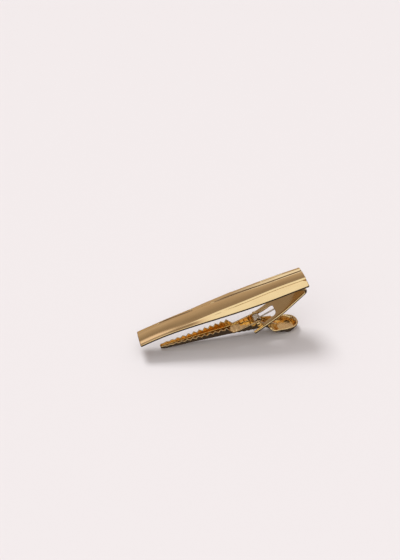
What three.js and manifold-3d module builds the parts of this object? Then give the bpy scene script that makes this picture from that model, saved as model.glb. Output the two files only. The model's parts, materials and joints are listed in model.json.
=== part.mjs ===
// Tie clip: a tapered front bar, a forked bracket under its wide end, and a sprung alligator jaw with a
// thumb tab. It is drawn along the bar and then tilted as it lies on a table, on the jaw's tip and the tab.
// Millimetres. Along the bar: x from the narrow end, y across, z out of the front face.
import * as THREE from 'three';
import * as BufferGeometryUtils from 'three/addons/utils/BufferGeometryUtils.js';
import Module from 'manifold-3d';

const wasm = await Module();
wasm.setup();

// Front bar
const BAR_LENGTH = 50;
const BAR_NARROW_HALF = 3.2;
const BAR_FLARE = { gain: 1.6, span: [3, 39] };
const BAR_TUCK = { loss: 0.34, span: [40, 52] };
const BAR_CORNER = { cut: 0.2, run: 0.3 };
const BAR_ARCH = { start: 0.15, climb: 0.63, climbEnd: 12 };
const BAR_FALL = { drop: 0.3, span: [12, 32] };
const BAR_END_FALL = { drop: 0.18, span: [42, 52] };
const BAR_PLATE = 0.62;
const PANEL_HALF = { narrow: 2.48, middle: 2.28, wide: 1.78, toMiddle: [8, 24], toWide: [29, 42] };
const PANEL_RISE = { narrow: 0.08, wide: 0.87, span: [11, 31] };
const PANEL_STEP = { narrow: 0.08, wide: 0.24, span: [14, 30] };
const PANEL_CROWN = { narrow: 0.26, wide: 0.14, span: [8, 26] };
// Points across half of the panel: share of its width, and share of its crown there.
const CROWN_POINTS = [[0, 1], [0.35, 0.88], [0.7, 0.51]];
const GROOVE = { depth: 0.08, bottom: 0.06, end: 0.18 };
const EDGE_ROUND = 0.12;
const BAR_STATION_GAP = 1.5;

// Bracket: one strip of sheet, folded back under the bar's wide end and cut to a fork
const SHEET = 0.7;
const BRACKET_HALF = 4.0;
const SOLDER_GAP = 0.05;
const BRACKET_LEG = [41, 43, 45, 46.8];
const BRACKET_BEND = [[48.0, -1.08], [48.68, -1.65], [48.4, -2.35], [47.5, -3.05]];
const BRACKET_ARM = [
  [45.9, -3.93], [44.3, -4.8], [41.75, -6.13], [39.07, -7.32], [34.8, -8.86], [31.0, -10.1],
];
const BRACKET_STEPS = 56;
const WINDOW_HALF = 2.3;
const WINDOW_END = 39.2;
const WINDOW_CORNER = 1.0;
const FORK_TIP = 31.45;
const LUG_THICK = 0.55;
const LUG_RADIUS = 0.85;

// Hinge
const PIVOT = { x: 33.5, z: -8.45 };
const PIN_RADIUS = 0.45;
const PIN_HALF = 2.98;
const PIN_DOME = 0.12;
const FIXED_HOLE_GAP = 0.05;
const RUNNING_GAP = 0.08;

// Torsion spring
const WIRE_RADIUS = 0.22;
const COIL_RADIUS = 0.92;
const COIL_HALF = 0.85;
const COIL_TURNS = 3.5;
const COIL_STEPS_PER_TURN = 16;
const LEG_Y = 0.8;
const BRACKET_LEG_ANGLE = THREE.MathUtils.degToRad(14);
const BRACKET_LEG_RUNS = [1.6, 3.2, 4.6, 5.9];
const JAW_LEG_XS = [34.75, 35.4, 36.2, 37.0, 37.8];
const JAW_LEG_CLEARANCE = 0.14;

// Jaw: one stamping, from the toothed tip through the hinge ears and lever to the thumb tab
const JAW_SHEET = 0.5;
const JAW_TIP = 4.8;
const TOOTH_PITCH = 1.66;
const TOOTH_COUNT = 12;
const TOOTH_DEPTH = 0.75;
const TOOTH_FADE = { none: 0.2, full: 1.6 };
const TEETH_END = JAW_TIP + TOOTH_PITCH * TOOTH_COUNT;
const MOUTH_FLOOR = { x: 5, z: -5.5, slope: -0.1436 };
const REAR_FLOOR = { x: 24.5, z: -8.3, slope: -0.178 };
const FLOOR_TO_TAB = [34.2, 38.6];
const TOOTH_LINE = { start: -4.95, slope: -0.06 };
const SHOULDER_SLOPE = -1.5;
const REAR_LINE = { start: -8.65, slope: 0.12 };
const LEVER_LINE = { start: -9.3, slope: -0.3 };
const RAIL_TO_TAB = [37.4, 39.4];
const MOUTH_HALF = { tip: 0.85, shoulder: 2.1, roundStart: 0.25, roundRun: 1.4 };
const EAR_HALF = 2.2;
const EAR_RADIUS = 0.88;
const EAR_TO_LEVER = [34.7, 35.4];
const LEVER_HALF = 1.8;
const LEVER_TO_TAB = [37.2, 39];
const SPLAY = { tip: 0.12, shoulder: 0.3, fade: [26, 30], tab: 0.9 };
const LEAST_WALL = 0.12;
const LEAST_HALF = { top: 0.3, foot: 0.2 };
const WALL_SHARE = 0.45;
const STEEPEST_STRETCH = 1.7;
const TAB = { x: 40.7, length: 4.1, half: 3.4, rim: -13.2, slope: -0.23, depth: 1.5, roundness: 2.26 };

const GOLD = { color: 0xc9a468, roughness: 0.22, metalness: 1 };
const STEEL = { color: 0xb9ae9c, roughness: 0.35, metalness: 1 };

const mix = (a, b, t) => a + (b - a) * t;
const ease = ([from, to], x) => THREE.MathUtils.smoothstep(x, from, to);

// ---------- shared makers ----------

function metal(look) {
  return new THREE.MeshStandardMaterial(look);
}

function named(name, geometry, look) {
  const mesh = new THREE.Mesh(geometry, metal(look));
  mesh.name = name;
  return mesh;
}

// Extrudes a closed outline over the stations, then puts every corner where place(corner, station) says.
function loft(outline, stationCount, place) {
  const shape = new THREE.Shape(outline.map(([u, v]) => new THREE.Vector2(u, v)));
  const steps = stationCount - 1;
  const geometry = new THREE.ExtrudeGeometry(shape, { depth: steps, steps, bevelEnabled: false });
  const position = geometry.getAttribute('position');
  for (let i = 0; i < position.count; i++) {
    const [u, v] = [position.getX(i), position.getY(i)];
    const corner = outline.findIndex(([a, b]) => Math.hypot(a - u, b - v) < 1e-4);
    const station = Math.round(position.getZ(i));
    position.setXYZ(i, ...place(corner, station));
  }
  return geometry;
}

function toSolid(geometry) {
  const bare = geometry.index ? geometry.toNonIndexed() : geometry.clone();
  bare.deleteAttribute('normal');
  bare.deleteAttribute('uv');
  const merged = BufferGeometryUtils.mergeVertices(bare, 1e-4);
  return new wasm.Manifold(new wasm.Mesh({
    numProp: 3,
    vertProperties: new Float32Array(merged.getAttribute('position').array),
    triVerts: new Uint32Array(merged.index.array),
  }));
}

function toGeometry(solid) {
  const mesh = solid.getMesh();
  const geometry = new THREE.BufferGeometry();
  geometry.setAttribute('position', new THREE.BufferAttribute(mesh.vertProperties, 3));
  geometry.setIndex(new THREE.BufferAttribute(mesh.triVerts, 1));
  return geometry;
}

// A shape drawn in x and z, extruded across y between two planes.
function acrossY(shape, yFrom, yTo, curveSegments = 12) {
  const geometry = new THREE.ExtrudeGeometry(shape, {
    depth: yTo - yFrom, steps: 1, bevelEnabled: false, curveSegments,
  });
  geometry.rotateX(Math.PI / 2);
  geometry.translate(0, yTo, 0);
  return geometry;
}

function pinHole(radius, half) {
  const geometry = new THREE.CylinderGeometry(radius, radius, 2 * half, 24);
  geometry.translate(PIVOT.x, 0, PIVOT.z);
  return toSolid(geometry);
}

// ---------- front bar ----------

// Height of the bar's side edges: a gentle arch along the bar.
function barEdgeHeight(x) {
  const climb = 1 - (1 - Math.min(x / BAR_ARCH.climbEnd, 1)) ** 2;
  const fall = BAR_FALL.drop * ease(BAR_FALL.span, x) + BAR_END_FALL.drop * ease(BAR_END_FALL.span, x);
  return BAR_ARCH.start + BAR_ARCH.climb * climb - fall;
}

function barHalfWidth(x) {
  const toEnd = Math.min(x, BAR_LENGTH - x);
  const corner = BAR_CORNER.cut * (1 - ease([0, BAR_CORNER.run], toEnd));
  const flare = BAR_FLARE.gain * ease(BAR_FLARE.span, x) - BAR_TUCK.loss * ease(BAR_TUCK.span, x);
  return BAR_NARROW_HALF + flare - corner;
}

function panelHalfWidth(x) {
  const { narrow, middle, wide, toMiddle, toWide } = PANEL_HALF;
  return narrow + (middle - narrow) * ease(toMiddle, x) + (wide - middle) * ease(toWide, x);
}

// A measure that changes from the bar's narrow end to its wide end over a span.
function along({ narrow, wide, span }, x) {
  return mix(narrow, wide, ease(span, x));
}

function barBack(x) {
  return barEdgeHeight(x) - BAR_PLATE;
}

// The right half of the bar's cross-section at x, from the middle of the panel round to the back.
function barHalfSection(x) {
  const edge = barEdgeHeight(x);
  const half = barHalfWidth(x);
  const panel = panelHalfWidth(x);
  const top = edge + along(PANEL_RISE, x);
  const foot = top - along(PANEL_STEP, x);
  const crown = along(PANEL_CROWN, x);
  return [
    ...CROWN_POINTS.map(([across, share]) => [across * panel, top + crown * share]),
    [panel, top],
    [panel + GROOVE.bottom, foot - GROOVE.depth],
    [panel + GROOVE.end, foot],
    [half - EDGE_ROUND, edge],
    [half, edge - EDGE_ROUND],
    [half, barBack(x) + EDGE_ROUND],
    [half - EDGE_ROUND, barBack(x)],
    [0.5 * half, barBack(x)],
  ];
}

function barStations() {
  const ends = [0, 0.1, 0.35];
  const stations = [...ends];
  for (let x = BAR_STATION_GAP; x < BAR_LENGTH - 1; x += BAR_STATION_GAP) stations.push(x);
  return [...stations, ...ends.map((x) => BAR_LENGTH - x).reverse()];
}

function frontBar() {
  const stations = barStations();
  const section = (x) => {
    const right = barHalfSection(x);
    const left = right.slice(1).reverse().map(([y, z]) => [-y, z]);
    return [...right, ...left];
  };
  const geometry = loft(section(BAR_LENGTH / 2), stations.length, (corner, station) => {
    const x = stations[station];
    const [y, z] = section(x)[corner];
    return [x, y, z];
  });
  return toGeometry(toSolid(geometry));
}

// ---------- bracket ----------

// The middle line of the folded strip: soldered leg, tight bend, and the arm that runs back under the bar.
function bracketLine() {
  const legDrop = SHEET / 2 + SOLDER_GAP;
  const leg = BRACKET_LEG.map((x) => [x, barBack(x) - legDrop]);
  const points = [...leg, ...BRACKET_BEND, ...BRACKET_ARM].map(([x, z]) => new THREE.Vector3(x, z, 0));
  return new THREE.CatmullRomCurve3(points, false, 'centripetal');
}

// Both faces of the strip, half its thickness to each side of the middle line.
function bracketProfile() {
  const line = bracketLine();
  const side = (sign) => Array.from({ length: BRACKET_STEPS + 1 }, (_, i) => {
    const point = line.getPointAt(i / BRACKET_STEPS);
    const tangent = line.getTangentAt(i / BRACKET_STEPS);
    const offset = sign * SHEET / 2;
    return new THREE.Vector2(point.x - offset * tangent.y, point.y + offset * tangent.x);
  });
  return new THREE.Shape([...side(1), ...side(-1).reverse()]);
}

// The fork seen square on to the bar: a plain strip, an open window and two rounded arm tips.
function forkOutline() {
  const armRadius = (BRACKET_HALF - WINDOW_HALF) / 2;
  const armY = (BRACKET_HALF + WINDOW_HALF) / 2;
  const tipX = FORK_TIP + armRadius;
  const cornerX = WINDOW_END - WINDOW_CORNER;
  const cornerY = WINDOW_HALF - WINDOW_CORNER;
  const quarter = Math.PI / 2;
  const shape = new THREE.Shape();
  shape.moveTo(BAR_LENGTH, -BRACKET_HALF);
  shape.lineTo(BAR_LENGTH, BRACKET_HALF);
  shape.lineTo(tipX, BRACKET_HALF);
  shape.absarc(tipX, armY, armRadius, quarter, 3 * quarter, false);
  shape.lineTo(cornerX, WINDOW_HALF);
  shape.absarc(cornerX, cornerY, WINDOW_CORNER, quarter, 0, true);
  shape.lineTo(WINDOW_END, -cornerY);
  shape.absarc(cornerX, -cornerY, WINDOW_CORNER, 0, -quarter, true);
  shape.lineTo(tipX, -WINDOW_HALF);
  shape.absarc(tipX, -armY, armRadius, quarter, 3 * quarter, false);
  return shape;
}

// A round lug that stands on an arm's inner edge and carries the hinge pin.
function lug(side) {
  const shape = new THREE.Shape();
  shape.absarc(PIVOT.x, PIVOT.z, LUG_RADIUS, 0, 2 * Math.PI, false);
  const near = side * WINDOW_HALF;
  const far = side * (WINDOW_HALF + LUG_THICK);
  return toSolid(acrossY(shape, Math.min(near, far), Math.max(near, far)));
}

function bracket() {
  const strip = toSolid(acrossY(bracketProfile(), -BRACKET_HALF, BRACKET_HALF));
  const above = 5;
  const below = 25;
  const plan = new THREE.ExtrudeGeometry(forkOutline(), {
    depth: above + below, bevelEnabled: false, curveSegments: 8,
  });
  plan.translate(0, 0, -below);
  const fork = strip.intersect(toSolid(plan));
  return toGeometry(
    fork.add(lug(1)).add(lug(-1)).subtract(pinHole(PIN_RADIUS + FIXED_HOLE_GAP, BRACKET_HALF + 1)),
  );
}

// ---------- hinge pin ----------

function hingePin() {
  const profile = [
    [0, -PIN_HALF], [PIN_RADIUS - PIN_DOME, -PIN_HALF], [PIN_RADIUS, -PIN_HALF + PIN_DOME],
    [PIN_RADIUS, PIN_HALF - PIN_DOME], [PIN_RADIUS - PIN_DOME, PIN_HALF], [0, PIN_HALF],
  ].map(([r, y]) => new THREE.Vector2(r, y));
  const geometry = new THREE.LatheGeometry(profile, 24);
  geometry.translate(PIVOT.x, 0, PIVOT.z);
  return toGeometry(toSolid(geometry));
}

// ---------- torsion spring ----------

function wireAlong(points, steps) {
  const section = new THREE.Shape();
  section.absarc(0, 0, WIRE_RADIUS, 0, 2 * Math.PI, false);
  const extrudePath = new THREE.CatmullRomCurve3(points.map((p) => new THREE.Vector3(...p)));
  return new THREE.ExtrudeGeometry(section, { steps, extrudePath, curveSegments: 4 });
}

// The coil round the pin and the leg that bears on the bracket beyond its window.
function springCoil() {
  const count = COIL_TURNS * COIL_STEPS_PER_TURN;
  const points = [];
  for (let i = 0; i <= count; i++) {
    const turnsLeft = COIL_TURNS - i / COIL_STEPS_PER_TURN;
    const angle = BRACKET_LEG_ANGLE - Math.PI / 2 - 2 * Math.PI * turnsLeft;
    const y = mix(-COIL_HALF, COIL_HALF, i / count);
    const [dx, dz] = [COIL_RADIUS * Math.cos(angle), COIL_RADIUS * Math.sin(angle)];
    points.push([PIVOT.x + dx, y, PIVOT.z + dz]);
  }
  const [startX, startY, startZ] = points[points.length - 1];
  const [dirX, dirZ] = [Math.cos(BRACKET_LEG_ANGLE), Math.sin(BRACKET_LEG_ANGLE)];
  for (const run of BRACKET_LEG_RUNS) {
    const y = mix(startY, LEG_Y, run / BRACKET_LEG_RUNS.at(-1));
    points.push([startX + run * dirX, y, startZ + run * dirZ]);
  }
  return toGeometry(toSolid(wireAlong(points, 96)));
}

// The spring's other leg, which lies along the lever's floor and turns with the jaw.
function springLeg() {
  const points = JAW_LEG_XS.map((x) => [x, -LEG_Y, jawFloor(x) + WIRE_RADIUS + JAW_LEG_CLEARANCE]);
  return toGeometry(toSolid(wireAlong(points, 14)));
}

// ---------- jaw ----------

function tabRim(x) {
  return TAB.rim + TAB.slope * (x - TAB.x);
}

// 1 over the middle of the tab, falling to 0 at its round end.
function tabDepthShare(x) {
  const t = THREE.MathUtils.clamp((x - TAB.x) / TAB.length, 0, 1);
  return Math.sqrt(1 - t ** 4);
}

// Height of the sheet's inner face along the middle of the jaw.
function jawFloor(x) {
  const body = x < REAR_FLOOR.x ? MOUTH_FLOOR : REAR_FLOOR;
  const channel = body.z + body.slope * (x - body.x);
  const tab = tabRim(x) - TAB.depth * tabDepthShare(x);
  return mix(channel, tab, ease(FLOOR_TO_TAB, x));
}

function jawSlope(x) {
  const step = 0.05;
  const high = Math.min(x + step, TAB.x + 0.7 * TAB.length);
  return (jawFloor(high) - jawFloor(high - 2 * step)) / (2 * step);
}

// Top edge of the side walls: tall and toothed in front, cut down at the shoulder, rising to the ears, round
// there, then down along the lever to the tab's rim.
function wallTop(x) {
  const teeth = TOOTH_LINE.start + TOOTH_LINE.slope * (x - JAW_TIP);
  if (x <= TEETH_END) return teeth;
  const fromPivot = x - PIVOT.x;
  const ear = Math.abs(fromPivot) < EAR_RADIUS
    ? PIVOT.z + Math.sqrt(EAR_RADIUS ** 2 - fromPivot ** 2)
    : -Infinity;
  const rear = REAR_LINE.start + REAR_LINE.slope * (x - TEETH_END);
  const shoulder = Math.max(teeth + SHOULDER_SLOPE * (x - TEETH_END), rear);
  if (fromPivot < 0) return Math.max(shoulder, ear);
  const rail = LEVER_LINE.start + LEVER_LINE.slope * fromPivot;
  return mix(Math.max(rail, ear), tabRim(x), ease(RAIL_TO_TAB, x));
}

// Half-width of the jaw across its walls' top edges, outside.
function wallHalf(x) {
  if (x <= TEETH_END) {
    const round = Math.sqrt(Math.min(1, (x - JAW_TIP + MOUTH_HALF.roundStart) / MOUTH_HALF.roundRun));
    return mix(MOUTH_HALF.tip, MOUTH_HALF.shoulder, (x - JAW_TIP) / (TEETH_END - JAW_TIP)) * round;
  }
  if (x < PIVOT.x + EAR_RADIUS) return EAR_HALF;
  const t = THREE.MathUtils.clamp((x - TAB.x) / TAB.length, 0, 0.999);
  const tab = TAB.half * (1 - t ** TAB.roundness) ** (1 / TAB.roundness);
  const lever = mix(EAR_HALF, LEVER_HALF, ease(EAR_TO_LEVER, x));
  return Math.max(mix(lever, tab, ease(LEVER_TO_TAB, x)), LEAST_HALF.top);
}

// How much wider each wall stands at its top than at the floor.
function wallSplay(x) {
  if (x <= TEETH_END) return mix(SPLAY.tip, SPLAY.shoulder, (x - JAW_TIP) / (TEETH_END - JAW_TIP));
  const tab = SPLAY.tab * ease(RAIL_TO_TAB, x) * tabDepthShare(x);
  return SPLAY.shoulder * (1 - ease(SPLAY.fade, x)) + tab;
}

function jawStations() {
  const stations = [];
  for (let i = 0; i <= 2 * TOOTH_COUNT; i++) stations.push(JAW_TIP + i * TOOTH_PITCH / 2);
  const rear = [0.5, 1.1, 1.7].map((d) => TEETH_END + d).concat([27.4, 28.6, 29.8, 31, 32]);
  const ears = [-0.85, -0.7, -0.35, 0, 0.35, 0.7, 0.85, 0.95].map((d) => PIVOT.x + d);
  const lever = [35.0, 35.4, 35.9, 36.4, 36.9, 37.4, 37.9, 38.5, 39.2, 40, 41, 42];
  const end = [42.8, 43.4, 43.9, 44.3, 44.6, 44.78, 44.87];
  return [...stations, ...rear, ...ears, ...lever, ...end];
}

// The jaw's cross-section at a station: a channel of sheet, teeth cut into its edges at every other one.
function jawSection(x, station) {
  const floor = jawFloor(x);
  const under = floor - JAW_SHEET * Math.min(Math.hypot(1, jawSlope(x)), STEEPEST_STRETCH);
  const full = Math.max(wallTop(x), floor + LEAST_WALL);
  const height = full - floor;
  const isNotch = station % 2 === 1 && x < TEETH_END;
  const notch = isNotch ? TOOTH_DEPTH * ease([TOOTH_FADE.none, TOOTH_FADE.full], height) : 0;
  const top = full - notch;
  const splay = wallSplay(x);
  const outer = wallHalf(x) - splay * notch / height;
  const foot = Math.max(wallHalf(x) - splay, LEAST_HALF.foot);
  const wall = Math.min(JAW_SHEET, WALL_SHARE * foot);
  const right = [[foot, under], [outer, top], [outer - wall, top], [foot - wall, floor]];
  const left = right.map(([y, z]) => [-y, z]).reverse();
  return [...right, ...left];
}

function jaw() {
  const stations = jawStations();
  const outline = [[2, 0], [2, 2], [1.5, 2], [1.5, 0.5], [-1.5, 0.5], [-1.5, 2], [-2, 2], [-2, 0]];
  const geometry = loft(outline, stations.length, (corner, station) => {
    const x = stations[station];
    const [y, z] = jawSection(x, station)[corner];
    return [x, y, z];
  });
  return toGeometry(toSolid(geometry).subtract(pinHole(PIN_RADIUS + RUNNING_GAP, BRACKET_HALF)));
}

// ---------- assembly ----------

// The clip lies on the underside of the jaw's tip and of the tab.
const TIP_UNDER = { x: JAW_TIP + TOOTH_PITCH, z: jawFloor(JAW_TIP + TOOTH_PITCH) - JAW_SHEET };
const TAB_UNDER = { x: TAB.x, z: jawFloor(TAB.x) - JAW_SHEET };
const REST_TILT = Math.atan2(TIP_UNDER.z - TAB_UNDER.z, TAB_UNDER.x - TIP_UNDER.x);

const clip = new THREE.Group();
clip.add(
  named('front_bar', frontBar(), GOLD),
  named('bracket', bracket(), GOLD),
  named('hinge_pin', hingePin(), GOLD),
  named('torsion_spring', springCoil(), STEEL),
  named('spring_jaw_leg', springLeg(), STEEL),
  named('jaw', jaw(), GOLD),
);
clip.rotation.y = -REST_TILT;

// The origin is under the middle of the clip's bounding box, on the surface that it lies on.
const lying = new THREE.Group();
lying.add(clip);
lying.updateMatrixWorld(true);
const bounds = new THREE.Box3().setFromObject(lying, true);
lying.position.set(
  -(bounds.min.x + bounds.max.x) / 2,
  -(bounds.min.y + bounds.max.y) / 2,
  -bounds.min.z,
);

const tieClip = new THREE.Group();
tieClip.add(lying);
export default tieClip;
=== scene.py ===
import json
import math

import bmesh
import bpy
from mathutils import Euler, Matrix, Vector


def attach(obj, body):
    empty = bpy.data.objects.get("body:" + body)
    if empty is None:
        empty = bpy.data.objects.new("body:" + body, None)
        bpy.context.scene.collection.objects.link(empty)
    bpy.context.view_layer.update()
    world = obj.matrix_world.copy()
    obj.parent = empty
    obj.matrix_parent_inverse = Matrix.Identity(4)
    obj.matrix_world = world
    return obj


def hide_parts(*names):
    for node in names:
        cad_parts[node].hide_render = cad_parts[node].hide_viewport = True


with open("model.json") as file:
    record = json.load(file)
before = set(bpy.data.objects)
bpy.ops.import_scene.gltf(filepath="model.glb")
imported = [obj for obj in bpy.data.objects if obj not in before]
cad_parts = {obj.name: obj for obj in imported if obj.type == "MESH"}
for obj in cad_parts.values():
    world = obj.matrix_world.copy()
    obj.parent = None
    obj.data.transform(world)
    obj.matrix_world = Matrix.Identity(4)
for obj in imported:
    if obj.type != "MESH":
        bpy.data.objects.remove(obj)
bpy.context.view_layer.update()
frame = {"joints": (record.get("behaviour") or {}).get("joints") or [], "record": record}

# The clip is described in the bar's own frame, in millimetres: x along the bar from its narrow end, y across
# it, z out of its front face. The hinge and the bar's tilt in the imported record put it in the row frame.
MM = 0.001
PIVOT_X, PIVOT_Z = 33.5, -8.45
HINGE = Vector(frame["joints"][0]["pos_m"])
TILT = math.asin(frame["record"]["mounts"][0]["axis"][0])


def place(x, y, z):
    along, up = (x - PIVOT_X) * MM, (z - PIVOT_Z) * MM
    cos, sin = math.cos(TILT), math.sin(TILT)
    return HINGE + Vector((along * cos - up * sin, y * MM, along * sin + up * cos))


def about_hinge(radius, angle, y):
    return (PIVOT_X + radius * math.cos(angle), y, PIVOT_Z + radius * math.sin(angle))


def mix(a, b, t):
    return a + (b - a) * t


def clamp(value, low=0.0, high=1.0):
    return max(low, min(high, value))


def ease(start, end, x):
    """Rises smoothly from 0 to 1 as x goes from start to end."""
    t = clamp((x - start) / (end - start))
    return t * t * (3 - 2 * t)


def fade(start, end, x):
    """Falls smoothly from 1 to 0 as x goes from start to end."""
    return 1 - ease(start, end, x)


def sized(profile, x):
    """A size at x, from its first value and the changes that follow, each as (change, start, end)."""
    first, *changes = profile
    return first + sum(change * ease(start, end, x) for change, start, end in changes)


def steps(start, end, size):
    """Evenly spaced values from start to end, about size apart."""
    count = max(1, round((end - start) / size))
    return [mix(start, end, i / count) for i in range(count + 1)]


# ---------- materials ----------

BRIGHT_GOLD = ((0.79, 0.585, 0.305), (0.84, 0.645, 0.345))
# Deeper orange gold for the channel and the dish: painted warm reflection in the hollows.
REFLECTION_GOLD = ((0.86, 0.54, 0.16), (0.92, 0.62, 0.23))
# Dark gold for the far groove: painted shade.
GROOVE_SHADE_GOLD = ((0.22, 0.14, 0.07), (0.36, 0.24, 0.12))
WIRE_STEEL = ((0.62, 0.53, 0.42), (0.96, 0.90, 0.80))


def new_material(name):
    material = bpy.data.materials.new(name)
    material.use_nodes = True
    tree = material.node_tree
    return material, tree, tree.nodes["Principled BSDF"]


def noise(tree, scale, stretch, detail):
    """Noise in the bar's own directions, so that its grain runs along the bar."""
    nodes, links = tree.nodes, tree.links
    coordinates = nodes.new("ShaderNodeTexCoord")
    mapping = nodes.new("ShaderNodeMapping")
    mapping.vector_type = "TEXTURE"
    mapping.inputs["Rotation"].default_value = (0, -TILT, 0)
    mapping.inputs["Scale"].default_value = stretch
    texture = nodes.new("ShaderNodeTexNoise")
    texture.inputs["Scale"].default_value = scale
    texture.inputs["Detail"].default_value = detail
    links.new(coordinates.outputs["Object"], mapping.inputs["Vector"])
    links.new(mapping.outputs["Vector"], texture.inputs["Vector"])
    return texture.outputs["Fac"]


def remap(tree, value, low, high, from_low=0.3, from_high=0.7):
    """Spreads a value between low and high. Noise keeps mostly between 0.3 and 0.7."""
    node = tree.nodes.new("ShaderNodeMapRange")
    ends = (("From Min", from_low), ("From Max", from_high), ("To Min", low), ("To Max", high))
    for socket, number in ends:
        node.inputs[socket].default_value = number
    tree.links.new(value, node.inputs["Value"])
    return node.outputs["Result"]


def add(tree, a, b):
    node = tree.nodes.new("ShaderNodeMath")
    node.operation = "ADD"
    tree.links.new(a, node.inputs[0])
    tree.links.new(b, node.inputs[1])
    return node.outputs["Value"]


def add_bump(tree, shader, height, strength, distance):
    bump = tree.nodes.new("ShaderNodeBump")
    bump.inputs["Strength"].default_value = strength
    bump.inputs["Distance"].default_value = distance
    tree.links.new(height, bump.inputs["Height"])
    tree.links.new(bump.outputs["Normal"], shader.inputs["Normal"])


def tint(tree, shader, value, tones):
    """Colours the shader between two tones."""
    ramp = tree.nodes.new("ShaderNodeValToRGB")
    for element, position, tone in zip(ramp.color_ramp.elements, (0.3, 0.72), tones):
        element.position = position
        element.color = (*tone, 1)
    tree.links.new(value, ramp.inputs["Fac"])
    tree.links.new(ramp.outputs["Color"], shader.inputs["Base Color"])


def gold_plate(name, roughness, waviness, ripple, tones=BRIGHT_GOLD):
    """Gold plate with fine polishing marks, a faint drift of tone, shallow waves and duller edges."""
    material, tree, shader = new_material(name)
    shader.inputs["Metallic"].default_value = 1
    marks = noise(tree, scale=9000, stretch=(22, 1, 1), detail=2)
    drift = noise(tree, scale=420, stretch=(2, 1, 1), detail=3)
    tint(tree, shader, drift, tones)
    geometry = tree.nodes.new("ShaderNodeNewGeometry")
    worn = remap(tree, geometry.outputs["Pointiness"], 0, 0.10, 0.52, 0.62)
    polish = remap(tree, marks, roughness * 0.8, roughness * 1.35)
    tree.links.new(add(tree, polish, worn), shader.inputs["Roughness"])
    swell = noise(tree, scale=ripple, stretch=(1.5, 1, 1), detail=1)
    add_bump(tree, shader, add(tree, remap(tree, marks, 0, 0.08), swell), waviness, 0.00008)
    return material


def spring_steel(name):
    """Drawn spring wire with a thin warm wash: mottled tone, drawing marks round the wire."""
    material, tree, shader = new_material(name)
    shader.inputs["Metallic"].default_value = 1
    mottle = noise(tree, scale=2600, stretch=(1, 1, 1), detail=4)
    tint(tree, shader, mottle, WIRE_STEEL)
    tree.links.new(remap(tree, mottle, 0.16, 0.36), shader.inputs["Roughness"])
    add_bump(tree, shader, noise(tree, scale=6000, stretch=(1, 1, 1), detail=2), 0.25, 0.00002)
    return material


POLISHED = gold_plate("gold_polished", roughness=0.10, waviness=0.10, ripple=260)
STAMPED = gold_plate("gold_stamped", roughness=0.12, waviness=0.25, ripple=500)
PRESSED = gold_plate("gold_pressed", roughness=0.09, waviness=1.5, ripple=900)
# The recessed gold's deeper orange is painted warm reflection.
RECESS_REFLECTION = gold_plate("gold_recess_reflection", roughness=0.12, waviness=0.9, ripple=800, tones=REFLECTION_GOLD)
# The groove's dark gold paints shade into the far groove.
GROOVE_SHADE = gold_plate("gold_groove_shade", roughness=0.30, waviness=0.3, ripple=800, tones=GROOVE_SHADE_GOLD)
WIRE = spring_steel("spring_wire")


# ---------- mesh helpers ----------


def new_object(name, points, faces, merge=0.0, recessed=()):
    """A mesh object. The faces listed as recessed take the piece's second material, which holds painted
    light: shade in the bar's far groove, warm reflection in the jaw's channel and the tab's dish.
    """
    mesh = bpy.data.meshes.new(name)
    mesh.from_pydata([place(*p) for p in points], [], faces)
    for index in recessed:
        mesh.polygons[index].material_index = 1
    work = bmesh.new()
    work.from_mesh(mesh)
    if merge:
        bmesh.ops.remove_doubles(work, verts=work.verts, dist=merge * MM)
    bmesh.ops.recalc_face_normals(work, faces=work.faces)
    work.to_mesh(mesh)
    work.free()
    piece = bpy.data.objects.new(name, mesh)
    bpy.context.scene.collection.objects.link(piece)
    return piece


def use_materials(piece, *materials):
    for material in materials:
        piece.data.materials.append(material)


def finish_piece(piece, body, nodes=(), sharp=0):
    """Shades the piece, keeps edges over sharp degrees crisp, and says what it stands for and rides on."""
    if sharp:
        piece.data.shade_smooth()
        piece.data.set_sharp_from_angle(angle=math.radians(sharp))
    if nodes:
        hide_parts(*nodes)
    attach(piece, body)


def apply_modifiers(piece):
    bpy.context.view_layer.update()
    graph = bpy.context.evaluated_depsgraph_get()
    mesh = bpy.data.meshes.new_from_object(piece.evaluated_get(graph))
    piece.modifiers.clear()
    piece.data = mesh


def bevel(piece, width, segments, angle):
    piece.data.shade_smooth()
    modifier = piece.modifiers.new("bevel", "BEVEL")
    modifier.width = width * MM
    modifier.segments = segments
    modifier.limit_method = "ANGLE"
    modifier.angle_limit = math.radians(angle)
    modifier.use_clamp_overlap = False
    modifier.harden_normals = True
    apply_modifiers(piece)


def ring_faces(rings, size, is_closed=False):
    """Faces between neighbouring rings of points. An open run of rings gets a cap at both ends."""
    faces = []
    for a in range(rings if is_closed else rings - 1):
        b = (a + 1) % rings
        for j in range(size):
            k = (j + 1) % size
            faces.append((a * size + j, a * size + k, b * size + k, b * size + j))
    if not is_closed:
        faces += [tuple(range(size)), tuple(range((rings - 1) * size, rings * size))]
    return faces


def cut_pin_hole(piece, radius, half, turns=40):
    """Cuts the round hole for the hinge pin through a piece."""
    points = [about_hinge(radius, 2 * math.pi * i / turns, y) for y in (-half, half) for i in range(turns)]
    cutter = new_object("cutter", points, ring_faces(2, turns))
    modifier = piece.modifiers.new("hole", "BOOLEAN")
    modifier.operation = "DIFFERENCE"
    modifier.solver = "EXACT"
    modifier.object = cutter
    apply_modifiers(piece)
    bpy.data.objects.remove(cutter)


def loft(name, stations, section, is_recessed, merge=0.0):
    """A closed solid through rings of (y, z) points, one ring at each x."""
    rings = [section(x) for x in stations]
    size = len(rings[0])
    points = [(x, y, z) for x, ring in zip(stations, rings) for y, z in ring]
    # Faces for the second material, which holds painted light.
    recessed = [i * size + j for i, x in enumerate(stations[:-1]) for j in range(size) if is_recessed(x, j)]
    return new_object(name, points, ring_faces(len(rings), size), merge, recessed)


# The dome on a wire's end: how far out each ring stands, and its size, as shares of the radius.
WIRE_DOME = [(0.35, 0.94), (0.75, 0.66), (0.97, 0.25)]


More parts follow.
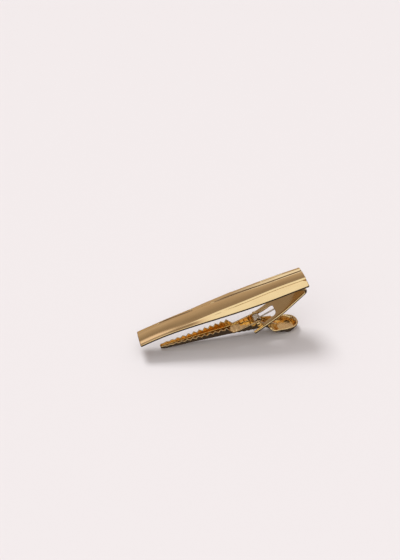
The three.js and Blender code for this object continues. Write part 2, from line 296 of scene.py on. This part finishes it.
def sweep(name, path, radius, sides=14):
    """A round wire along a path, with domed ends."""
    path = [Vector(p) for p in path]
    tangents = []
    for i in range(len(path)):
        a, b = path[max(i - 1, 0)], path[min(i + 1, len(path) - 1)]
        tangents.append((b - a).normalized())
    normal = tangents[0].orthogonal().normalized()
    rings = []
    for point, tangent in zip(path, tangents):
        normal = (normal - tangent * normal.dot(tangent)).normalized()
        rings.append((point, tangent, normal.copy(), radius))

    def dome_ring(ring, out, share):
        point, tangent, normal, size = ring
        return (point + tangent * size * out, tangent, normal, size * share)

    start = [dome_ring(rings[0], -out, share) for out, share in reversed(WIRE_DOME)]
    end = [dome_ring(rings[-1], out, share) for out, share in WIRE_DOME]
    rings = start + rings + end
    points = []
    for point, tangent, normal, size in rings:
        binormal = tangent.cross(normal)
        for j in range(sides):
            a = 2 * math.pi * j / sides
            points.append(tuple(point + (normal * math.cos(a) + binormal * math.sin(a)) * size))
    return new_object(name, points, ring_faces(len(rings), sides))


# ---------- front bar ----------

BAR_LENGTH = 50.0
BAR_PLATE = 0.62
BOW_RISE, BOW_LENGTH = 0.63, 12
END_ROUNDING = 0.13
RIM = 0.12

# Sizes along the bar, for sized().
EDGE_HEIGHT = (0.15, (-0.3, 12, 32), (-0.18, 42, 52))
BAR_HALF = (3.2, (1.6, 3, 39), (-0.34, 40, 52))
PANEL_HALF = (2.48, (-0.2, 8, 24), (-0.5, 29, 42))
PANEL_RISE = (0.08, (0.79, 11, 31))
PANEL_CROWN = (0.26, (-0.12, 5, 22))
FAR_LIP = (0.05, (0.42, 20, 27))
FAR_GROOVE = (0, (1, 6, 9), (-1, 13.5, 17), (1, 22.5, 26.5))
NEAR_STEP = (0, (0.24, 11, 30))
NEAR_RISER = (0.108, (0.252, 12, 26))
NEAR_GROOVE = (0, (0.14, 21, 30))

LIP_TURN = math.radians(50)
FADED_RISER_SLOPE = 0.17
STEEP_FACET, LEVEL_FACET = 0.31, 0.14
FLANGE_SHARES = (0.07, 0.2, 0.35, 0.5, 0.7, 1.0)
PANEL_POINTS = 13
# Columns of faces are counted round a section from its crest: the far groove follows the panel and its lip.
# These columns take the dark gold of painted shade.
FAR_GROOVE_COLUMNS = range(20, 24)


def bar_edge(x):
    """Height of the front's long edges: it climbs from the narrow end, then falls away gently."""
    climb = 1 - (1 - min(x / BOW_LENGTH, 1)) ** 2
    return sized(EDGE_HEIGHT, x) + BOW_RISE * climb


def bar_back(x):
    return bar_edge(x) - BAR_PLATE


def bar_half(x):
    corner = 0.2 * fade(0, 0.3, min(x, BAR_LENGTH - x))
    return sized(BAR_HALF, x) - corner


def end_inset(x):
    """How far the outline draws in, to round the bar's two cut ends."""
    depth = clamp(min(x, BAR_LENGTH - x) / END_ROUNDING)
    return END_ROUNDING * (1 - math.sqrt(1 - (1 - depth) ** 2))


def far_step(x, top, panel):
    """The far step: a rounded lip, widest towards the wide end, with a narrow groove behind it."""
    lip = sized(FAR_LIP, x)
    radius = lip / math.sin(LIP_TURN)
    points = []
    for i in range(6):
        a = LIP_TURN * i / 5
        points.append((panel - lip + radius * math.sin(a), top - radius * (1 - math.cos(a))))
    foot = top - 0.05 - 0.5 * lip
    groove = sized(FAR_GROOVE, x)
    groove_end = panel + 0.2 + 0.32 * groove
    return points + [
        (panel + 0.02, foot - 0.03), (panel + 0.12, foot - 0.04), (panel + 0.2, foot - 0.03 - 0.03 * groove),
        (groove_end, foot - 0.07 * groove), (groove_end + 0.06, foot),
    ]


def near_step(x, top, panel, edge, half):
    """The near step: a slanted riser and a groove along its foot. Both fade out before the narrow end."""
    step, riser = sized(NEAR_STEP, x), sized(NEAR_RISER, x)
    start = panel + riser
    foot = top - step - FADED_RISER_SLOPE * riser * fade(11, 30, x)
    slope = (foot - edge) / (half - RIM - start)
    notch = ease(BAR_LENGTH - 1.2, BAR_LENGTH - 0.1, x)
    groove = sized(NEAR_GROOVE, x) + 0.5 * notch

    def beyond(width, depth):
        return (start + width, foot - slope * width - depth)

    return [
        (panel - 0.03, top + 0.005), (panel + 0.02, top - 0.08 * step),
        (panel + 0.5 * riser, top - 0.5 * step), (panel + 0.9 * riser, foot + 0.08 * step), (start, foot),
        beyond(0.05, groove), beyond(0.16 + 0.35 * notch, groove), beyond(0.21 + 0.5 * notch, 0),
    ]


def far_flange(x, run, fall):
    """The far flange falls in two facets, a steep one inside and a level one along the rim."""
    share = 0.12 + 0.5 * ease(28, 31, x)
    steep = mix(LEVEL_FACET, STEEP_FACET, ease(28, 29.5, x))
    ratio = min(1, fall / (run * (steep * share + LEVEL_FACET * (1 - share))))

    def drop(t):
        return ratio * run * (steep * min(t, share) + LEVEL_FACET * max(t - share, 0))

    return [(t, drop(t)) for t in (0.07, share - 0.04, share, share + 0.04, share + 0.1, 1.0)]


def bar_crest(x):
    """Height of the panel's edges and of its crown above them, without the rounding of the ends."""
    return bar_edge(x) + sized(PANEL_RISE, x), sized(PANEL_CROWN, x)


def bar_side(x, side):
    """One side of the bar's section, from beside the middle of the panel to beside the middle of the back."""
    inset = end_inset(x)
    edge = bar_edge(x) - inset
    back = bar_back(x) + inset
    half = bar_half(x) - inset
    panel = sized(PANEL_HALF, x) - 0.3 * inset
    top, crown = bar_crest(x)
    top -= inset
    is_far = side > 0
    power = 2 if is_far else 2 + 0.35 * fade(4, 8, x)
    reach = panel - 0.5 if is_far else panel
    points = []
    for u in range(1, PANEL_POINTS + 1):
        share = u / (PANEL_POINTS + 1) * reach / panel
        points.append((panel * share, top + crown * (1 - share**power)))
    points += far_step(x, top, panel) if is_far else near_step(x, top, panel, edge, half)
    start, foot = points[-1]
    run, fall = half - RIM - start, foot - edge
    flange = far_flange(x, run, fall) if is_far else [(t, fall * t) for t in FLANGE_SHARES]
    points += [(start + run * t, foot - drop) for t, drop in flange]
    radius = min(RIM, (edge - back) * 0.3)
    for centre, first in ((edge - radius, 90), (back + radius, 0)):
        for turn in (22.5, 45, 67.5, 90):
            a = math.radians(first - turn)
            points.append((half - RIM + RIM * math.cos(a), centre + radius * math.sin(a)))
    return points + [(half * 0.6, back), (half * 0.25, back)]


def bar_section(x):
    far, near = bar_side(x, 1), bar_side(x, -1)
    inset = end_inset(x)
    crest = sum(bar_crest(x)) - inset
    return [(0, crest)] + far + [(0, bar_back(x) + inset)] + [(-y, z) for y, z in reversed(near)]


def in_far_groove(x, column):
    """Whether a column of faces lies in the far groove, whose dark gold is painted shade."""
    return column in FAR_GROOVE_COLUMNS and sized(FAR_GROOVE, x) > 0.03


def make_bar():
    narrow_end = [0, 0.012, 0.035, 0.07, 0.13, 0.3]
    middle = steps(0.8, BAR_LENGTH - 1.4, 0.6)
    wide_end = [BAR_LENGTH - x for x in (1.1, 0.8, 0.55, *reversed(narrow_end))]
    piece = loft("bar_front", narrow_end + middle + wide_end, bar_section, in_far_groove)
    # The second material paints shade into the far groove.
    use_materials(piece, POLISHED, GROOVE_SHADE)
    finish_piece(piece, "bar", ["front_bar"], sharp=40)


# ---------- bracket ----------

SHEET = 0.7
SOLDER_GAP = 0.05
BRACKET_HALF = 4.0
WINDOW_HALF = 2.3
WINDOW_END = 39.2
WINDOW_CORNER = 1.0
FORK_TIP = 31.45
ARM_TIP_RADIUS = 0.42

# The middle of the bracket's sheet, as (x, z): under the bar, round the fold, then down the arms.
LEG_XS = (41, 43, 45, 46.8)
FOLD = [(48.15, -1.02), (48.72, -1.5), (48.72, -2.12), (48.3, -2.56)]
ARM = [
    (47.2, -3.16), (45.8, -3.95), (44.2, -4.82), (41.75, -6.13), (39.07, -7.32), (34.8, -8.86), (31.0, -10.1),
]
FOLD_END_X = 47.0

LUG_RADIUS, LUG_HOLE, LUG_LENGTH = 0.85, 0.5, 0.55


def spline(points, per_span):
    """A smooth curve through points of two numbers (centripetal Catmull-Rom)."""
    points = [Vector(p) for p in points]
    ends = [points[0] * 2 - points[1]] + points + [points[-1] * 2 - points[-2]]
    curve = []
    for i in range(1, len(ends) - 2):
        a, b, c, d = ends[i - 1:i + 3]
        knots = [0.0]
        for p, q in ((a, b), (b, c), (c, d)):
            knots.append(knots[-1] + max((q - p).length, 1e-6) ** 0.5)
        for s in range(per_span):
            t = mix(knots[1], knots[2], s / per_span)
            ab = a.lerp(b, (t - knots[0]) / (knots[1] - knots[0]))
            bc = b.lerp(c, (t - knots[1]) / (knots[2] - knots[1]))
            cd = c.lerp(d, (t - knots[2]) / (knots[3] - knots[2]))
            abc = ab.lerp(bc, (t - knots[0]) / (knots[2] - knots[0]))
            bcd = bc.lerp(cd, (t - knots[1]) / (knots[3] - knots[1]))
            curve.append(abc.lerp(bcd, (t - knots[1]) / (knots[2] - knots[1])))
    curve.append(points[-1])
    return curve


def bracket_line(arm_xs):
    """The sheet's middle line, as two lists: the leg and the fold, then the arm's points at the given xs."""
    leg = [(x, bar_back(x) - SHEET / 2 - SOLDER_GAP) for x in LEG_XS]
    curve = spline(leg + FOLD + ARM, 14)
    tail = max(i for i, p in enumerate(curve) if p.x > FOLD_END_X)
    arm = curve[tail:]
    points = []
    for x in arm_xs:
        a, b = next((a, b) for a, b in zip(arm, arm[1:]) if b.x <= x <= a.x)
        points.append(a.lerp(b, (a.x - x) / (a.x - b.x)))
    return curve[:tail + 1], points


def arm_edges(x):
    """Inner and outer half-width of an arm of the fork at x."""
    to_tip = FORK_TIP + ARM_TIP_RADIUS - x
    if to_tip > 0:
        reach = math.sqrt(max(ARM_TIP_RADIUS**2 - to_tip**2, 0.0004))
        middle = BRACKET_HALF - ARM_TIP_RADIUS
        return middle - reach, middle + reach
    into_corner = x - (WINDOW_END - WINDOW_CORNER)
    inner = WINDOW_HALF + 0.85 * fade(32, 36.5, x)
    if into_corner > 0:
        inner -= WINDOW_CORNER - math.sqrt(max(WINDOW_CORNER**2 - into_corner**2, 0))
    return inner, BRACKET_HALF


def make_bracket():
    def rounded(start, radius, angles):
        return [start + radius * (1 - math.cos(math.radians(a))) for a in angles]

    corner_xs = rounded(WINDOW_END, -WINDOW_CORNER, range(0, 91, 10))
    tip_xs = rounded(FORK_TIP, ARM_TIP_RADIUS, (75, 60, 48, 36, 25, 15, 6))
    web_xs = steps(WINDOW_END + 0.5, 46.6, 0.5)[::-1]
    arm_xs = steps(FORK_TIP + ARM_TIP_RADIUS, WINDOW_END - WINDOW_CORNER - 0.4, 0.4)[::-1]
    head, arm = bracket_line(web_xs + corner_xs + arm_xs + tip_xs)
    web, fork = head + arm[:len(web_xs)], arm[len(web_xs):]
    across, between = 3, 4
    points, faces = [], []

    def add_row(point, ys):
        start = len(points)
        points.extend((point.x, y, point.y) for y in ys)
        return list(range(start, len(points)))

    def bridge(row_a, row_b):
        for i in range(len(row_a) - 1):
            faces.append((row_a[i], row_a[i + 1], row_b[i + 1], row_b[i]))

    inner_end = WINDOW_HALF - WINDOW_CORNER
    side = [mix(inner_end, BRACKET_HALF, t / across) for t in range(across + 1)]
    inside = [mix(-inner_end, inner_end, t / between) for t in range(1, between)]
    full = [-y for y in reversed(side)] + inside + side
    rows = []
    for i, point in enumerate(web):
        trim = 1 - 0.09 * max(0, 1 - i / 5) ** 2
        rows.append(add_row(point, [y * trim for y in full]))
    rows.append(add_row(fork[0], full))
    for row_a, row_b in zip(rows, rows[1:]):
        bridge(row_a, row_b)
    near, far = rows[-1][:across + 1], rows[-1][-(across + 1):]
    for point in fork[1:]:
        inner, outer = arm_edges(point.x)
        ys = [mix(inner, outer, t / across) for t in range(across + 1)]
        near_row = add_row(point, [-y for y in reversed(ys)])
        far_row = add_row(point, ys)
        bridge(near, near_row)
        bridge(far, far_row)
        near, far = near_row, far_row

    piece = new_object("bracket_fork", points, faces)
    thick = piece.modifiers.new("sheet", "SOLIDIFY")
    thick.thickness = SHEET * MM
    thick.offset = 0
    thick.use_even_offset = True
    apply_modifiers(piece)
    smooth = piece.modifiers.new("subdivision", "SUBSURF")
    smooth.levels = smooth.render_levels = 2
    apply_modifiers(piece)
    use_materials(piece, STAMPED)
    finish_piece(piece, "bar", ["bracket"], sharp=50)


def make_lug(name, side, turns=40):
    """The round lug that carries one end of the pin, beside an arm's inner edge."""
    near, far = WINDOW_HALF, WINDOW_HALF + LUG_LENGTH
    profile = [
        (LUG_HOLE, near), (LUG_RADIUS - 0.08, near), (LUG_RADIUS - 0.02, near + 0.03),
        (LUG_RADIUS, near + 0.1), (LUG_RADIUS - 0.01, far - 0.38), (LUG_RADIUS - 0.05, far - 0.26),
        (LUG_RADIUS - 0.13, far - 0.14), (LUG_RADIUS - 0.24, far - 0.05), (LUG_HOLE, far),
    ]
    points = [about_hinge(r, 2 * math.pi * i / turns, side * y) for i in range(turns) for r, y in profile]
    piece = new_object(name, points, ring_faces(turns, len(profile), is_closed=True))
    use_materials(piece, STAMPED)
    finish_piece(piece, "bar", sharp=32)


# ---------- hinge pin and spring ----------

# Half of the pin's outline, as (radius, y): its end is peened into a low dome.
PIN_PROFILE = [(0.45, 0), (0.45, 2.84), (0.6, 2.86), (0.62, 2.885), (0.55, 2.93), (0.38, 2.965), (0.15, 2.98)]
PIN_HOLE = 0.53

WIRE_RADIUS = 0.22
COIL_RADIUS = 0.92
COIL_HALF = 1.12
COIL_TURNS = 4.5
COIL_STEPS_PER_TURN = 28
LEG_Y = 0.8
BRACKET_LEG_ANGLE = math.radians(14)
BRACKET_LEG_RUNS = (0.5, 1.2, 2.2, 3.4, 4.6, 5.7)
BRACKET_LEG_LENGTH = 5.9
JAW_LEG_CLEARANCE = 0.14


def make_pin(turns=32):
    profile = [(r, -y) for r, y in reversed(PIN_PROFILE[1:])] + PIN_PROFILE
    points = [about_hinge(r, 2 * math.pi * i / turns, y) for r, y in profile for i in range(turns)]
    piece = new_object("hinge_rivet", points, ring_faces(len(profile), turns))
    use_materials(piece, STAMPED)
    finish_piece(piece, "bar", ["hinge_pin"], sharp=32)


def make_spring():
    """The coil round the pin, and the leg that bears on the bracket beyond its window."""
    count = round(COIL_TURNS * COIL_STEPS_PER_TURN)
    path = []
    for i in range(count + 1):
        turns_left = COIL_TURNS - i / COIL_STEPS_PER_TURN
        angle = BRACKET_LEG_ANGLE - math.pi / 2 - 2 * math.pi * turns_left
        path.append(about_hinge(COIL_RADIUS, angle, mix(-COIL_HALF, COIL_HALF, i / count)))
    x, y, z = path[-1]
    cos, sin = math.cos(BRACKET_LEG_ANGLE), math.sin(BRACKET_LEG_ANGLE)
    path += [
        (x + run * cos, mix(y, LEG_Y, run / BRACKET_LEG_LENGTH), z + run * sin) for run in BRACKET_LEG_RUNS
    ]
    piece = sweep("spring_coil", path, WIRE_RADIUS)
    use_materials(piece, WIRE)
    finish_piece(piece, "bar", ["torsion_spring"], sharp=60)


def make_spring_leg():
    """The spring's other leg, which lies along the lever's floor and turns with the jaw."""
    path = [(x, -LEG_Y, jaw_floor(x) + WIRE_RADIUS + JAW_LEG_CLEARANCE) for x in steps(34.75, 37.7, 0.25)]
    piece = sweep("spring_leg", path, WIRE_RADIUS)
    use_materials(piece, WIRE)
    finish_piece(piece, "jaw", ["spring_jaw_leg"], sharp=60)


# ---------- jaw ----------

JAW_SHEET = 0.5
JAW_TIP = 4.8
TOOTH_PITCH = 1.66
TOOTH_COUNT = 12
TOOTH_DEPTH = 0.75
TEETH_END = JAW_TIP + TOOTH_PITCH * TOOTH_COUNT
EAR_HALF = 2.2
EAR_RADIUS = 0.88
LEVER_HALF = 1.8
LEVER_END = 38.4
LEAST_WALL = 0.3
CORNER, FILLET = 0.42, 0.22
RIPPLE, RIPPLE_RATE = 0.07, 4.4

TAB_X, TAB_LENGTH, TAB_HALF = 40.7, 4.1, 3.4
TAB_DEPTH = 1.5
TAB_ROUNDNESS = 2.26

# Straight lines along the jaw and the tab, as (x, height there, slope).
MOUTH_FLOOR = (5, -5.5, -0.1436)
REAR_FLOOR = (24.5, -8.3, -0.178)
TOOTH_LINE = (JAW_TIP, -4.95, -0.06)
SHOULDER = (TEETH_END, -8.65, 0.12)
LEVER_RAIL = (PIVOT_X, -9.3, -0.3)
TAB_RIM = (TAB_X, -13.2, -0.23)

# The straight sides of the tab's outline, and the corner that draws in to the lever.
TAB_SIDE = [(x, TAB_HALF) for x in (40.1, 39.4, 38.7, 38.0, 37.4)]
TAB_CORNER = [
    (37.0, 3.36), (36.7, 3.22), (36.45, 3.0), (36.2, 2.7), (36.0, 2.35), (35.85, 2.0), (35.75, 1.5),
    (35.72, 1.0), (35.7, 0.5), (35.7, 0),
]
DISH_X, DISH_LENGTH, DISH_HALF = 40.9, 2.3, 2.5
RIM_WIDTH = 0.55
TAB_SHEET = 0.5

# Columns of faces are counted round a section from the middle of the underside towards the far wall.
CHANNEL_COLUMNS = range(7, 19)
CHANNEL_FLOOR_COLUMNS = range(11, 15)


def line_height(line, x):
    start, height, slope = line
    return height + slope * (x - start)


def tab_rim(x):
    return line_height(TAB_RIM, x)


def jaw_floor(x):
    """Height of the sheet's inner face along the middle: mouth, rear with stamping ripples, then the tab."""
    body = line_height(MOUTH_FLOOR if x < REAR_FLOOR[0] else REAR_FLOOR, x)
    body += RIPPLE * math.sin(RIPPLE_RATE * (x - 25)) * ease(25, 25.6, x) * fade(31, 33, x)
    return mix(body, tab_rim(x) - TAB_DEPTH, ease(34.2, 38.6, x))


def jaw_under(x):
    """Height of the sheet's outer face, one sheet off the floor measured square to it."""
    slope = (jaw_floor(x + 0.05) - jaw_floor(x - 0.05)) / 0.1
    return jaw_floor(x) - JAW_SHEET * min(math.hypot(1, slope), 1.7)


def tooth_line(x):
    return line_height(TOOTH_LINE, x)


def tooth_notch(x, side):
    """Depth of the saw cut at x. The teeth of the two walls stand half a pitch apart."""
    phase = ((x - JAW_TIP) / TOOTH_PITCH - 0.25 * side) % 1
    height = tooth_line(x) - jaw_floor(x)
    return TOOTH_DEPTH * (1 - abs(2 * phase - 1)) * ease(0.2, 1.6, height)


def wall_top(x, side):
    """Height of a wall: teeth, the shoulder behind them, the ear round the pin, then the lever's rail."""
    end = TEETH_END + 0.25 * side * TOOTH_PITCH
    if x <= end:
        return max(tooth_line(x) - tooth_notch(x, side), jaw_floor(x) + 0.1)
    from_pivot = x - PIVOT_X
    ear = PIVOT_Z + math.sqrt(EAR_RADIUS**2 - from_pivot**2) if abs(from_pivot) < EAR_RADIUS else -math.inf
    if from_pivot < 0:
        return max(tooth_line(end) - 1.5 * (x - end), line_height(SHOULDER, x), ear)
    return max(line_height(LEVER_RAIL, x), ear) - 0.7 * ease(37.5, LEVER_END, x)


def wall_half(x):
    """Half the jaw's outer width at the top of its walls."""
    if x <= TEETH_END:
        rounding = math.sqrt(min(1, (x - JAW_TIP + 0.25) / 1.4))
        return mix(0.85, 2.1, (x - JAW_TIP) / (TEETH_END - JAW_TIP)) * rounding
    if x < PIVOT_X + EAR_RADIUS:
        return EAR_HALF
    return mix(EAR_HALF, LEVER_HALF, ease(34.7, 35.4, x))


def wall_splay(x):
    """How far a wall leans out from its foot to its full height."""
    if x <= TEETH_END:
        return mix(0.12, 0.3, (x - JAW_TIP) / (TEETH_END - JAW_TIP))
    return 0.3 * fade(26, 30, x)


def jaw_side(x, side):
    """One side of the channel's section, from beside the middle of the underside to beside the floor's."""
    floor, under = jaw_floor(x), jaw_under(x)
    least = floor + LEAST_WALL
    top = max(wall_top(x, side), least)
    full = max(tooth_line(x), least) if x < TEETH_END else top
    half, splay = wall_half(x), wall_splay(x)
    outer = half - splay * (full - top) / (full - floor)
    foot = max(half - splay, 0.3)
    wall = min(JAW_SHEET, 0.45 * foot)
    corner = min(CORNER, 0.8 * (floor - under), 0.6 * foot)
    fillet = min(FILLET, 0.5 * (top - floor), 0.5 * (foot - wall))
    turns = [math.radians(a) for a in (0, 30, 60, 90)]
    inner_foot = foot - wall - fillet
    points = [(foot * 0.5, under)]
    points += [(foot - corner + corner * math.sin(a), under + corner * (1 - math.cos(a))) for a in turns]
    points += [(outer, top), (outer - wall, top)]
    points += [
        (inner_foot + fillet * math.sin(a), floor + fillet * (1 - math.cos(a))) for a in reversed(turns)
    ]
    return points + [((foot - wall) * 0.5, floor)]


def jaw_section(x):
    far, near = jaw_side(x, 1), jaw_side(x, -1)
    return [(0, jaw_under(x))] + far + [(0, jaw_floor(x))] + [(-y, z) for y, z in reversed(near)]


def inside_channel(x, column):
    """Whether a column of faces lies in the channel, whose deeper orange gold is painted warm reflection.
    Behind the teeth its floor is left out.
    """
    return column in CHANNEL_COLUMNS and (x < TEETH_END or column not in CHANNEL_FLOOR_COLUMNS)


def make_jaw():
    """The jaw and its lever. The stations fall on the teeth's tips and roots."""
    stations = [JAW_TIP, JAW_TIP + TOOTH_PITCH / 8]
    stations += [JAW_TIP + TOOTH_PITCH * (0.25 + 0.5 * i) for i in range(2 * TOOTH_COUNT)]
    stations += [TEETH_END + 0.25 * TOOTH_PITCH + 0.02]
    stations += steps(TEETH_END + 0.7, PIVOT_X - 1.15, 0.2)
    stations += steps(PIVOT_X - 0.95, PIVOT_X + 0.95, 0.1) + steps(PIVOT_X + 1.1, LEVER_END, 0.22)
    piece = loft("jaw_channel", stations, jaw_section, inside_channel, merge=0.001)
    # The channel's faces take painted warm reflection.
    use_materials(piece, PRESSED, RECESS_REFLECTION)
    cut_pin_hole(piece, PIN_HOLE, 4)
    bevel(piece, width=0.11, segments=3, angle=34)
    finish_piece(piece, "jaw", ["jaw"])


def tab_outline():
    """The tab's rim seen from above: round at its end, straight at the sides, drawn in to the lever."""
    half = []
    for i in range(25):
        a = math.radians(90 * i / 24)
        half.append((
            TAB_X + TAB_LENGTH * math.cos(a) ** (2 / TAB_ROUNDNESS),
            TAB_HALF * math.sin(a) ** (2 / TAB_ROUNDNESS),
        ))
    half += TAB_SIDE + TAB_CORNER
    return half + [(x, -y) for x, y in reversed(half[1:-1])]


def tab_rim_height(x, y):
    """Height of the rim. Towards the lever it rises to a lip, which is lower across the lever's width."""
    toward_lever = fade(35.8, 37.0, x)
    return tab_rim(x) + 1.0 * toward_lever - 0.25 * toward_lever * fade(0.8, 1.9, abs(y))


def dish_angle(x, y):
    return math.atan2(y / DISH_HALF, (x - DISH_X) / DISH_LENGTH)


def dish_floor(x, y, share, lift):
    """A point of the dish's flat floor, a share of the way out to its edge."""
    angle = dish_angle(x, y)
    px = DISH_X + DISH_LENGTH * share * math.cos(angle)
    py = DISH_HALF * share * math.sin(angle)
    return (px, py, tab_rim(px) - TAB_DEPTH + lift)


def dish_wall(x, y, u, drop, outward):
    """A point of the dish's wall, a share u of the way up from the floor to the rim."""
    angle = dish_angle(x, y)
    inner = Vector((DISH_X + DISH_LENGTH * math.cos(angle), DISH_HALF * math.sin(angle)))
    radial = Vector((x - DISH_X, y)).normalized()
    plan = inner.lerp(Vector((x, y)) - radial * (RIM_WIDTH - outward), u)
    low, high = tab_rim(inner.x) - TAB_DEPTH, tab_rim_height(x, y)
    crease = 0.45 * math.exp(-((u - 0.12) / 0.07) ** 2) * ease(0.1, 0.7, -math.cos(angle))
    rise = mix(u, 3 * u * u - 2 * u * u * u, 0.5)
    return (plan.x, plan.y, mix(low, high, rise) + crease - drop)


def rolled_rim(x, y, inward, rise):
    point = Vector((x, y)) - Vector((x - DISH_X, y)).normalized() * inward
    return (point.x, point.y, tab_rim_height(x, y) + rise)


def make_tab():
    """The thumb tab: a dish with a flat round floor, a raised lip towards the lever and a rolled rim."""
    outline = tab_outline()
    count = len(outline)
    floor_shares = (0.35, 0.7, 0.92)
    wall_shares = (0.0, 0.08, 0.18, 0.32, 0.5, 0.7, 0.86, 1.0)
    rings = [[dish_floor(x, y, share, 0.04 * share**4) for x, y in outline] for share in floor_shares]
    rings += [[dish_wall(x, y, u, 0, 0) for x, y in outline] for u in wall_shares]
    for inward, rise in ((0.46, 0.07), (0.32, 0.13), (0.18, 0.12), (0.06, 0.06), (0, -0.14)):
        rings.append([rolled_rim(x, y, inward, rise) for x, y in outline])
    rings += [[dish_wall(x, y, u, TAB_SHEET, 0.42) for x, y in outline] for u in (0.93, 0.78, 0.55, 0.3, 0.1)]
    rings += [[dish_floor(x, y, share, -TAB_SHEET) for x, y in outline] for share in (0.8, 0.4)]
    points = [point for ring in rings for point in ring]
    # The lower half of the dish's wall takes the recessed gold, a painted warm reflection.
    first = len(floor_shares)
    recessed = range(first * count, (first + 4) * count)
    piece = new_object("jaw_tab", points, ring_faces(len(rings), count), recessed=recessed)
    use_materials(piece, PRESSED, RECESS_REFLECTION)
    finish_piece(piece, "jaw", sharp=50)


make_bar()
make_bracket()
make_lug("bracket_lug_far", 1)
make_lug("bracket_lug_near", -1)
make_pin()
make_spring()
make_spring_leg()
make_jaw()
make_tab()


# ---------- studio ----------


def direction(azimuth, elevation):
    """Azimuth is measured from straight behind the clip towards its wide end."""
    azimuth, elevation = math.radians(azimuth), math.radians(elevation)
    return Vector((
        math.sin(azimuth) * math.cos(elevation), math.cos(azimuth) * math.cos(elevation), math.sin(elevation),
    ))


CAMERA_LENS = 54.85
CAMERA_AZIMUTH, CAMERA_ELEVATION, CAMERA_ROLL = (math.radians(a) for a in (12.07, 36.19, -1.615))
CAMERA_FROM_HINGE = Vector((-0.05582, -0.18434, 0.15490))

KEY_DIRECTION = direction(-18, 56)
FLOOR_HALF = 6
FLOOR_COLOUR = (0.72, 0.70, 0.72)

# The dome's light against the share of a direction along the dome's axis, and its colour.
DOME_AXIS = (-0.38, 0, 0.925)
DOME_BANDS = [
    (0.0, 0.44), (0.30, 0.46), (0.42, 0.55), (0.48, 0.58), (0.54, 0.52), (0.60, 0.47), (0.66, 0.41),
    (0.72, 0.35), (0.77, 0.33), (0.82, 0.36), (0.88, 0.56), (1.0, 0.75),
]
DOME_COLOUR = (1, 0.81, 0.70)
WHITE_CARD = (1.02, 0.99, 0.95)
TAN_CARD = (0.30, 0.235, 0.195)
# Each card: the direction it hangs in, where its edge starts and ends, and its light.
CARDS = [
    (direction(-42, 16), 0.93, 0.985, TAN_CARD),
    (direction(13, 13), 0.9744, 0.9833, WHITE_CARD),
    (direction(-44, 56), 0.975, 0.994, (0.98, 0.85, 0.86)),
    (direction(180, 0), 0.30, 0.80, (0.12, 0.095, 0.085)),
    (direction(-165, 52), 0.76, 0.88, WHITE_CARD),
    (direction(-128, 34), 0.80, 0.92, WHITE_CARD),
    (direction(0, 90), 0.829, 0.905, (1.04, 1.04, 1.05)),
    (direction(0, -90), -0.12, -0.05, (0.86, 0.83, 0.835)),
    (direction(0, -90), 0.03, 0.08, (0.05, 0.042, 0.045)),
    (direction(-32, -24), 0.809, 0.9135, TAN_CARD),
]


def make_camera():
    """The camera stands off the hinge and sees the clip from the front and above."""
    data = bpy.data.cameras.new("camera")
    data.lens = CAMERA_LENS
    data.clip_start = 0.005
    camera = bpy.data.objects.new("camera", data)
    bpy.context.scene.collection.objects.link(camera)
    turn = Euler((math.pi / 2 - CAMERA_ELEVATION, 0, -CAMERA_AZIMUTH)).to_matrix()
    camera.rotation_euler = (turn @ Matrix.Rotation(CAMERA_ROLL, 3, "Z")).to_euler()
    camera.location = HINGE + CAMERA_FROM_HINGE
    bpy.context.scene.camera = camera


def make_key():
    """A large soft key from behind and above. It lights the floor; the metal mirrors the dome alone."""
    data = bpy.data.lights.new("key", "SUN")
    data.energy = 2.0
    data.angle = math.radians(24)
    light = bpy.data.objects.new("key", data)
    light.rotation_euler = (-KEY_DIRECTION).to_track_quat("-Z", "Y").to_euler()
    light.visible_glossy = False
    bpy.context.scene.collection.objects.link(light)


def make_world():
    """The studio round the clip: a warm dim dome in soft bands, with a few broad bright or dark cards."""
    world = bpy.data.worlds.new("studio")
    world.use_nodes = True
    tree = world.node_tree
    nodes, links = tree.nodes, tree.links
    sight = nodes.new("ShaderNodeTexCoord").outputs["Generated"]

    def facing(axis):
        node = nodes.new("ShaderNodeVectorMath")
        node.operation = "DOT_PRODUCT"
        links.new(sight, node.inputs[0])
        node.inputs[1].default_value = axis
        return node.outputs["Value"]

    ramp = nodes.new("ShaderNodeValToRGB")
    elements = ramp.color_ramp.elements
    while len(elements) < len(DOME_BANDS):
        elements.new(0.5)
    for element, (position, light) in zip(elements, DOME_BANDS):
        element.position = position
        element.color = (*(light * tone for tone in DOME_COLOUR), 1)
    links.new(facing(DOME_AXIS), ramp.inputs["Fac"])
    colour = ramp.outputs["Color"]
    for axis, outer, inner, card in CARDS:
        edge = nodes.new("ShaderNodeMapRange")
        edge.interpolation_type = "SMOOTHSTEP"
        edge.inputs["From Min"].default_value = outer
        edge.inputs["From Max"].default_value = inner
        links.new(facing(axis), edge.inputs["Value"])
        blend = nodes.new("ShaderNodeMix")
        blend.data_type = "RGBA"
        links.new(edge.outputs["Result"], blend.inputs["Factor"])
        links.new(colour, blend.inputs["A"])
        blend.inputs["B"].default_value = (*card, 1)
        colour = blend.outputs["Result"]
    links.new(colour, nodes["Background"].inputs["Color"])
    bpy.context.scene.world = world


def make_floor():
    """A plain pale floor. The metal doesn't mirror it: faces turned down see the dome's dark underside."""
    mesh = bpy.data.meshes.new("floor")
    corners = [(x * FLOOR_HALF, y * FLOOR_HALF, 0) for x, y in ((-1, -1), (1, -1), (1, 1), (-1, 1))]
    mesh.from_pydata(corners, [], [(0, 1, 2, 3)])
    floor = bpy.data.objects.new("floor", mesh)
    bpy.context.scene.collection.objects.link(floor)
    material, _, shader = new_material("floor")
    shader.inputs["Base Color"].default_value = (*FLOOR_COLOUR, 1)
    shader.inputs["Roughness"].default_value = 0.9
    mesh.materials.append(material)
    floor.visible_glossy = False


make_camera()
make_key()
make_world()
make_floor()
bpy.context.scene.view_settings.view_transform = "Standard"
